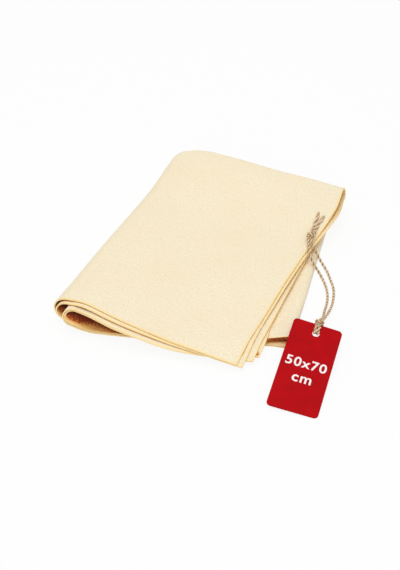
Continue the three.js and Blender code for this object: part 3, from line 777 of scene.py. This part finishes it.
class CHAMOIS_OT_tag(Operator):
    """Makes the hang tag, with its round corners and punched hole"""

    bl_idname = "chamois.tag"
    bl_label = "Hang tag"

    def execute(self, context):
        settings = context.scene.chamois_tag
        bm = bmesh.new()
        # The outline, from one square whose corners are rounded
        outline = bmesh.ops.create_grid(bm, x_segments=1, y_segments=1, size=0.5)["verts"]
        bmesh.ops.scale(bm, vec=(settings.width, settings.length, 1), verts=outline)
        bmesh.ops.translate(bm, vec=(0, -settings.length / 2, 0), verts=outline)
        bmesh.ops.bevel(
            bm, geom=outline, offset=settings.corner, offset_type="OFFSET",
            segments=CARD_CORNER_STEPS, profile=0.5, affect="VERTICES", material=-1,
        )
        bmesh.ops.delete(bm, geom=list(bm.faces), context="FACES_ONLY")
        middle = Matrix.Translation((0, -settings.hole_inset, 0))
        bmesh.ops.create_circle(
            bm, cap_ends=False, radius=settings.hole, segments=CARD_HOLE_STEPS, matrix=middle
        )
        bmesh.ops.triangle_fill(
            bm, use_beauty=True, use_dissolve=False, edges=list(bm.edges), normal=(0, 0, 1)
        )
        cut_for_twist(bm, settings)
        back = list(bm.faces)
        if sum(face.normal.z for face in back) > 0:
            bmesh.ops.reverse_faces(bm, faces=back)
        front = bmesh.ops.extrude_face_region(bm, geom=back, use_keep_orig=True)["geom"]
        raised = [g for g in front if isinstance(g, bmesh.types.BMVert)]
        bmesh.ops.translate(bm, vec=(0, 0, settings.thickness), verts=raised)
        bmesh.ops.recalc_face_normals(bm, faces=bm.faces)
        rims = [
            e for e in bm.edges if len(e.link_faces) == 2 and e.calc_face_angle() > CARD_RIM_ANGLE
        ]
        bmesh.ops.bevel(
            bm, geom=rims, offset=CARD_BEVEL, offset_type="OFFSET", segments=2, profile=0.5,
            affect="EDGES", material=-1,
        )
        rim = bm.verts.layers.float.new("rim")
        for vert in bm.verts:
            x, y, z = vert.co
            inside = min(settings.width / 2 - abs(x), -y, settings.length + y)
            walled = CARD_RIM < z < settings.thickness - CARD_RIM
            vert[rim] = 1.0 if inside < CARD_RIM or walled else 0.0
            vert.co = on_card(vert.co, settings)
        card = finished("tag_card", bm, printed_card(settings))
        card.data.shade_flat()
        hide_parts("tag")
        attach(card, "hang_tag")
        return {"FINISHED"}


def cut_for_twist(bm, settings):
    """Cuts a flat piece in small squares, so it can follow the card's twist."""
    for axis, size in ((0, settings.width), (1, settings.length)):
        for k in range(1, math.ceil(size / CARD_STEP)):
            place, across = Vector((-size / 2, 0, 0)), Vector((0, 0, 0))
            place[axis] = k * CARD_STEP - size / 2 if axis == 0 else -k * CARD_STEP
            across[axis] = 1
            whole = [*bm.verts, *bm.edges, *bm.faces]
            bmesh.ops.bisect_plane(bm, geom=whole, dist=1e-7, plane_co=place, plane_no=across)


def on_card(point, settings):
    """Where a point of the flat card, whose top edge's middle is at the origin, lies."""
    down = min(max(-point.y / settings.length, 0), 1)
    roll = mix(*TAG_ROLL, down)
    rise = mix(TAG_RISE, settings.width / 2 * math.sin(TAG_ROLL[1]), down)
    x = point.x * math.cos(roll) + point.z * math.sin(roll)
    z = point.z * math.cos(roll) - point.x * math.sin(roll) + rise
    return TAG_TOP + Euler((TAG_LEAN, 0, TAG_TURN), "XYZ").to_matrix() @ Vector((x, point.y, z))


class CHAMOIS_OT_print(Operator):
    """Prints the sheet's size on the tag"""

    bl_idname = "chamois.print"
    bl_label = "Print"

    def execute(self, context):
        settings = context.scene.chamois_tag
        ink = screen_ink()
        for name, text, width, down in PRINT:
            letters = bpy.data.curves.new(name, "FONT")
            letters.body = getattr(settings, text)
            letters.size, letters.offset = LETTER_SIZE, LETTER_WEIGHT
            letters.space_character = LETTER_SPACING
            drawn = bpy.data.objects.new(name, letters)
            context.scene.collection.objects.link(drawn)
            context.view_layer.update()
            graph = context.evaluated_depsgraph_get()
            mesh = bpy.data.meshes.new_from_object(drawn.evaluated_get(graph))
            bpy.data.objects.remove(drawn)
            bm = bmesh.new()
            bm.from_mesh(mesh)
            bpy.data.meshes.remove(mesh)
            bmesh.ops.remove_doubles(bm, verts=bm.verts, dist=INK_MERGE)
            xs, ys = [v.co.x for v in bm.verts], [v.co.y for v in bm.verts]
            scale = width / (max(xs) - min(xs))
            centred = (-(max(xs) + min(xs)) / 2, -(max(ys) + min(ys)) / 2, 0)
            bmesh.ops.translate(bm, vec=centred, verts=bm.verts)
            bmesh.ops.scale(bm, vec=(scale, scale, 1), verts=bm.verts)
            placed = (0, -down, settings.thickness + INK_LIFT)
            bmesh.ops.translate(bm, vec=placed, verts=bm.verts)
            cut_for_twist(bm, settings)
            for vert in bm.verts:
                vert.co = on_card(vert.co, settings)
            piece = finished(name, bm, ink)
            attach(piece, "hang_tag")
        return {"FINISHED"}


def run_along(line):
    """How far along a line each of its points is."""
    return np.concatenate([[0], np.cumsum(np.linalg.norm(np.diff(line, axis=0), axis=1))])


def smooth_line(points, step):
    """Even points, step apart, on a smooth line through the given ones."""
    known = np.array(points, float)
    known = np.vstack([2 * known[0] - known[1], known, 2 * known[-1] - known[-2]])
    line = []
    for before, start, end, after in zip(known, known[1:], known[2:], known[3:]):
        pairs = ((before, start), (start, end), (end, after))
        # Spaced by the root of each gap, the line makes no loops at uneven points
        a, b, c = (max(np.linalg.norm(q - p), 1e-9) ** 0.5 for p, q in pairs)
        out = ((start - before) / a - (end - before) / (a + b) + (end - start) / b) * b
        into = ((end - start) / b - (after - start) / (b + c) + (after - end) / c) * b
        for u in np.linspace(0, 1, LINE_STEPS, endpoint=False):
            square, cube = u * u, u * u * u
            point = (2 * cube - 3 * square + 1) * start + (cube - 2 * square + u) * out
            line.append(point + (3 * square - 2 * cube) * end + (cube - square) * into)
    line = np.array(line + [known[-2]])
    run = run_along(line)
    even = np.linspace(0, run[-1], max(2, round(run[-1] / step) + 1))
    return np.stack([np.interp(even, run, line[:, k]) for k in range(3)], -1)


def frames_along(line):
    """Two directions across a line at each of its points, carried along without twist."""
    ahead = unit(np.gradient(line, axis=0))
    side = np.cross(ahead[0], (0.0, 0.0, 1.0))
    if np.linalg.norm(side) < 0.1:
        side = np.cross(ahead[0], (1.0, 0.0, 0.0))
    sides = []
    for direction in ahead:
        side = unit(side - direction * (side @ direction))
        sides.append(side)
    sides = np.array(sides)
    return sides, np.cross(ahead, sides)


def ring_edges(ring):
    edges = {e for v in ring for e in v.link_edges}
    return [e for e in edges if e.verts[0] in ring and e.verts[1] in ring]


def sweep(bm, line, radii, count, crown, crown_at=None):
    """Sweeps a ring of so many sides along a line, and stores each vertex's crown share, which keeps
    it out of the painted shade between the plies. A ply, which has crowns, is closed at its ends,
    and a hair is too fine to need that."""
    across, over = frames_along(line)
    ring = bmesh.ops.create_circle(bm, cap_ends=False, radius=1.0, segments=count)["verts"]
    angles = [math.atan2(v.co.y, v.co.x) for v in ring]
    first = ring
    for i, (place, radius) in enumerate(zip(line, radii)):
        if i:
            grown = bmesh.ops.extrude_edge_only(bm, edges=ring_edges(ring))["geom"]
            new = {g for g in grown if isinstance(g, bmesh.types.BMVert)}
            nexts = [[e.other_vert(v) for e in v.link_edges] for v in ring]
            ring = [next(v for v in near if v in new) for near in nexts]
        for v, angle in zip(ring, angles):
            out = across[i] * math.cos(angle) + over[i] * math.sin(angle)
            v.co = Vector(place + out * radius)
            v.co.z = max(v.co.z, TWINE_FLOOR)
            v[crown] = crown_at(i, out) if crown_at else 1.0
    if crown_at:
        for end in (first, ring):
            bmesh.ops.contextual_create(bm, geom=ring_edges(end))


def plied(name, route, settings, material, seed, swell=1.0, hairs=0, tail=0.0):
    """A length of twine along a route: two plies laid round each other, its loose hairs and a tail
    that comes undone in a brush of fibres. Gives the piece and its middle line."""
    rng = random.Random(seed)
    diameter, lay = settings.diameter / MM, settings.lay_length / MM
    line = smooth_line(route, lay / LAY_STEPS)
    across, over = frames_along(line)
    run = run_along(line)
    loose = smooth(run[-1] - tail, run[-1] - 0.5 * tail, run) if tail else np.zeros(len(run))
    laid = np.concatenate([[0], np.cumsum(np.diff(run) * (1 - LOOSE_LAY * loose[1:]))])
    ply_radius = PLY_RADIUS * diameter * swell * (1 + LOOSE_RADIUS * loose)
    offset = PLY_OFFSET * diameter * swell * (1 + LOOSE_OFFSET * loose)
    bm = bmesh.new()
    crown = bm.verts.layers.float.new("crown")
    laid_end = int(np.searchsorted(run, run[-1] - BRUSH_LENGTH)) if tail else len(line)
    for start in (0.0, math.pi):
        angle = start + 2 * math.pi * laid / lay
        outward = across * np.cos(angle)[:, None] + over * np.sin(angle)[:, None]
        (low, slow), (high, quick) = UNEVEN
        uneven = 1 + low * np.sin(run * slow + seed + start) + high * np.sin(run * quick + 2 * seed)
        ply, radii = line + outward * offset[:, None], ply_radius * uneven

        # Its crown share is low on the side of a ply that faces the other, which takes the painted
        # shade, and higher where the plies come apart in a tail
        def crown_at(i, out):
            share = CROWN_MIDDLE + CROWN_LOOSE * loose[i] + CROWN_RISE * float(out @ outward[i])
            return min(1.0, max(0.0, share))

        sweep(bm, ply[:laid_end], radii[:laid_end], PLY_SIDES, crown, crown_at)
    for k in range(hairs):
        # Every third hair is on the tail, where there is one
        lowest = 2 if k % 3 or not tail else int(np.searchsorted(run, run[-1] - tail))
        i = rng.randrange(lowest, len(line) - 2)
        angle = rng.uniform(0, 2 * math.pi)
        out = across[i] * math.cos(angle) + over[i] * math.sin(angle)
        ahead = unit(line[i + 1] - line[i - 1]) * rng.choice((-1, 1))
        reach, drift = rng.uniform(*HAIR_REACH), rng.uniform(*HAIR_DRIFT)
        root = line[i] + out * (HAIR_ROOT * diameter)
        bend = root + out * reach * 0.5 + ahead * drift * 0.5
        hair = np.array([root, bend, root + out * reach * 0.75 + ahead * drift])
        hair[:, 2] = np.maximum(hair[:, 2], HAIR_FLOOR)
        sweep(bm, hair, HAIR_RADII, 3, crown)
    if tail:
        tip, ahead = line[-1], unit(line[-1] - line[-4])
        for _ in range(BRUSH_FIBRES):
            angle, spread = rng.uniform(0, 2 * math.pi), rng.uniform(*BRUSH_SPREAD)
            out = across[-1] * math.cos(angle) + over[-1] * math.sin(angle)
            reach = rng.uniform(*BRUSH_TIP)
            root = tip - ahead * rng.uniform(*BRUSH_ROOT) + out * spread
            belly = root + (tip - root) * 0.5 + out * BRUSH_BELLY * spread
            fibre = np.array([root, belly, tip + ahead * reach + out * BRUSH_MOUTH * spread])
            radius = rng.uniform(*BRUSH_RADIUS)
            sweep(bm, fibre, [radius * share for share in BRUSH_TAPER], 4, crown)
    bmesh.ops.scale(bm, vec=(MM, MM, MM), verts=bm.verts)
    bmesh.ops.recalc_face_normals(bm, faces=bm.faces)
    return finished(name, bm, material), line * MM


class CHAMOIS_OT_twine(Operator):
    """Makes the jute twine: two strands with their tails, the knot and the hitch through the tag"""

    bl_idname = "chamois.twine"
    bl_label = "Twine"

    def execute(self, context):
        settings = context.scene.chamois_twine
        material = jute(settings)
        knot = self.knot(settings, material)
        hitch = self.hitch(settings, material, context.scene.chamois_tag)
        for side, route, seed in (("left", LEFT_ROUTE, 3), ("right", RIGHT_ROUTE, 8)):
            piece, line = plied(
                "twine_" + side, route, settings, material, seed,
                hairs=settings.hairs, tail=TAIL_LENGTH,
            )
            length = float(run_along(line)[-1])
            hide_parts("twine_strand_" + side, "twine_tail_" + side)
            tuple(line[0])
            [tuple(p) for p in line]
            along = (Vector(line[BEND_POINT]) - Vector(line[0])).normalized()
            tuple(line[0])
            tuple(Vector(line[0]) + along * BEND_LENGTH)
            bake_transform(piece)
        return {"FINISHED"}

    def knot(self, settings, material):
        """An overhand knot: both strands go once round themselves and through."""
        middle = np.array(KNOT_PLACE)
        route = []
        for i in range(KNOT_STEPS + 1):
            turn = 2 * math.pi * (i / KNOT_STEPS * KNOT_TURNS + KNOT_START)
            x = KNOT_WIDE * math.cos(turn)
            y = KNOT_FOOT + KNOT_LENGTH * i / KNOT_STEPS + KNOT_SLANT * math.cos(turn)
            route.append(middle + (x, y, KNOT_LIFT + KNOT_TALL * math.sin(turn)))
        wrap, _ = plied("twine_knot_wrap", route, settings, material, 5, swell=1.12, hairs=14)
        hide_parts("twine_knot")
        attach(wrap, "folded_cloth")
        return wrap

    def hitch(self, settings, material, tag):
        """A lark's head: both strands into the hole, up behind the card and over it, under their
        own bight."""
        card, inset, radius = tag.thickness / MM, tag.hole_inset / MM, settings.diameter / MM / 2
        beside, front, back = radius + HITCH_GAP, card + HITCH_GAP + radius, -HITCH_GAP - radius
        wide, over = beside + 1.15 * radius, front + 2 * radius + HITCH_GAP
        # Aside, up the card and out from its back, in millimetres
        strand = [
            (beside, 5.4, front - 3.4), (beside, 2.6, front - 1.1),
            (beside, -0.2 * inset, front), (beside, -0.72 * inset, front),
            (beside, -0.94 * inset, card / 2), (beside, -0.72 * inset, back),
            ((beside + wide) / 2, -0.3 * inset, back), (wide, radius, back + 0.3),
            (wide, 2 * radius, card + 0.3), (wide, radius, over - 0.3),
        ]
        bight = (0, radius / 2, over + 0.3)
        points = [(-x, y, z) for x, y, z in strand] + [bight] + strand[::-1]
        route = [tuple(on_card(Vector(p) * MM, tag) / MM) for p in points]
        piece, _ = plied("twine_hitch_loop", route, settings, material, 11, swell=1.05, hairs=26)
        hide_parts("twine_hitch")
        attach(piece, "hang_tag")
        return piece


class CHAMOIS_OT_camera(Operator):
    """Places the camera at the photograph's angle"""

    bl_idname = "chamois.camera"
    bl_label = "Camera"

    def execute(self, context):
        camera = bpy.data.objects.new("camera", bpy.data.cameras.new("camera"))
        context.scene.collection.objects.link(camera)
        camera.data.lens, camera.data.sensor_width = CAMERA_LENS, CAMERA_SENSOR
        camera.data.clip_start, camera.data.clip_end = 0.05, 20.0
        turn, fall = math.radians(CAMERA_TURN), math.radians(CAMERA_FALL)
        level = math.cos(fall)
        ahead = Vector((-math.sin(turn) * level, math.cos(turn) * level, -math.sin(fall)))
        camera.location = (np.array(CAMERA_PLACE) + SHEET_CORNER) * MM
        camera.rotation_euler = ahead.to_track_quat("-Z", "Y").to_euler()
        context.scene.camera = camera
        return {"FINISHED"}


class CHAMOIS_OT_stage(Operator):
    """Sets the floor, the world and the soft studio lamps"""

    bl_idname = "chamois.stage"
    bl_label = "Stage"

    def execute(self, context):
        bm = bmesh.new()
        bmesh.ops.create_grid(bm, x_segments=1, y_segments=1, size=FLOOR_SIZE)
        floor = finished("backdrop", bm, backdrop_paper())
        world = bpy.data.worlds.new("studio")
        context.scene.world = world
        world.use_nodes = True
        tree = world.node_tree
        tree.nodes.clear()
        fill = add(tree, "Background", {"Color": "#FFFFFF", "Strength": FILL_LIGHT})
        blank = add(tree, "Background", {"Color": "#FFFFFF", "Strength": 1.0})
        both = add(tree, "MixShader", i0=seen_white(tree), i1=fill, i2=blank)
        add(tree, "OutputWorld", Surface=both)
        for name, place, size, power in LAMPS:
            lamp = bpy.data.lights.new(name, "AREA")
            lamp.energy, lamp.size = power, size
            holder = bpy.data.objects.new(name, lamp)
            holder.location = place
            holder.rotation_euler = (-Vector(place)).to_track_quat("-Z", "Y").to_euler()
            context.scene.collection.objects.link(holder)
        context.scene.view_settings.view_transform = "Standard"
        return {"FINISHED"}


class CHAMOIS_PT_panel(Panel):
    """Lists the pieces and their settings"""

    bl_label = "Chamois cloth"
    bl_idname = "CHAMOIS_PT_panel"
    bl_space_type = "VIEW_3D"
    bl_region_type = "UI"
    bl_category = "Chamois cloth"

    def draw(self, context):
        for group in SETTINGS:
            settings = getattr(context.scene, group)
            for name in settings.__annotations__:
                self.layout.prop(settings, name)
        for operator in OPERATORS:
            self.layout.operator(operator.bl_idname)


OPERATORS = (
    CHAMOIS_OT_camera,
    CHAMOIS_OT_twine,
    CHAMOIS_OT_cloth,
    CHAMOIS_OT_tag,
    CHAMOIS_OT_print,
    CHAMOIS_OT_stage,
)
SETTINGS = {
    "chamois_cloth": ClothSettings,
    "chamois_tag": TagSettings,
    "chamois_twine": TwineSettings,
}
CLASSES = (*SETTINGS.values(), *OPERATORS, CHAMOIS_PT_panel)


def register():
    for each in CLASSES:
        bpy.utils.register_class(each)
    for name, settings in SETTINGS.items():
        setattr(bpy.types.Scene, name, bpy.props.PointerProperty(type=settings))


def unregister():
    for name in SETTINGS:
        delattr(bpy.types.Scene, name)
    for each in reversed(CLASSES):
        bpy.utils.unregister_class(each)


def main():
    register()
    bpy.ops.chamois.camera()
    bpy.ops.chamois.twine()
    bpy.ops.chamois.cloth()
    bpy.ops.chamois.tag()
    bpy.ops.chamois.print()
    bpy.ops.chamois.stage()


if __name__ == "__main__":
    main()
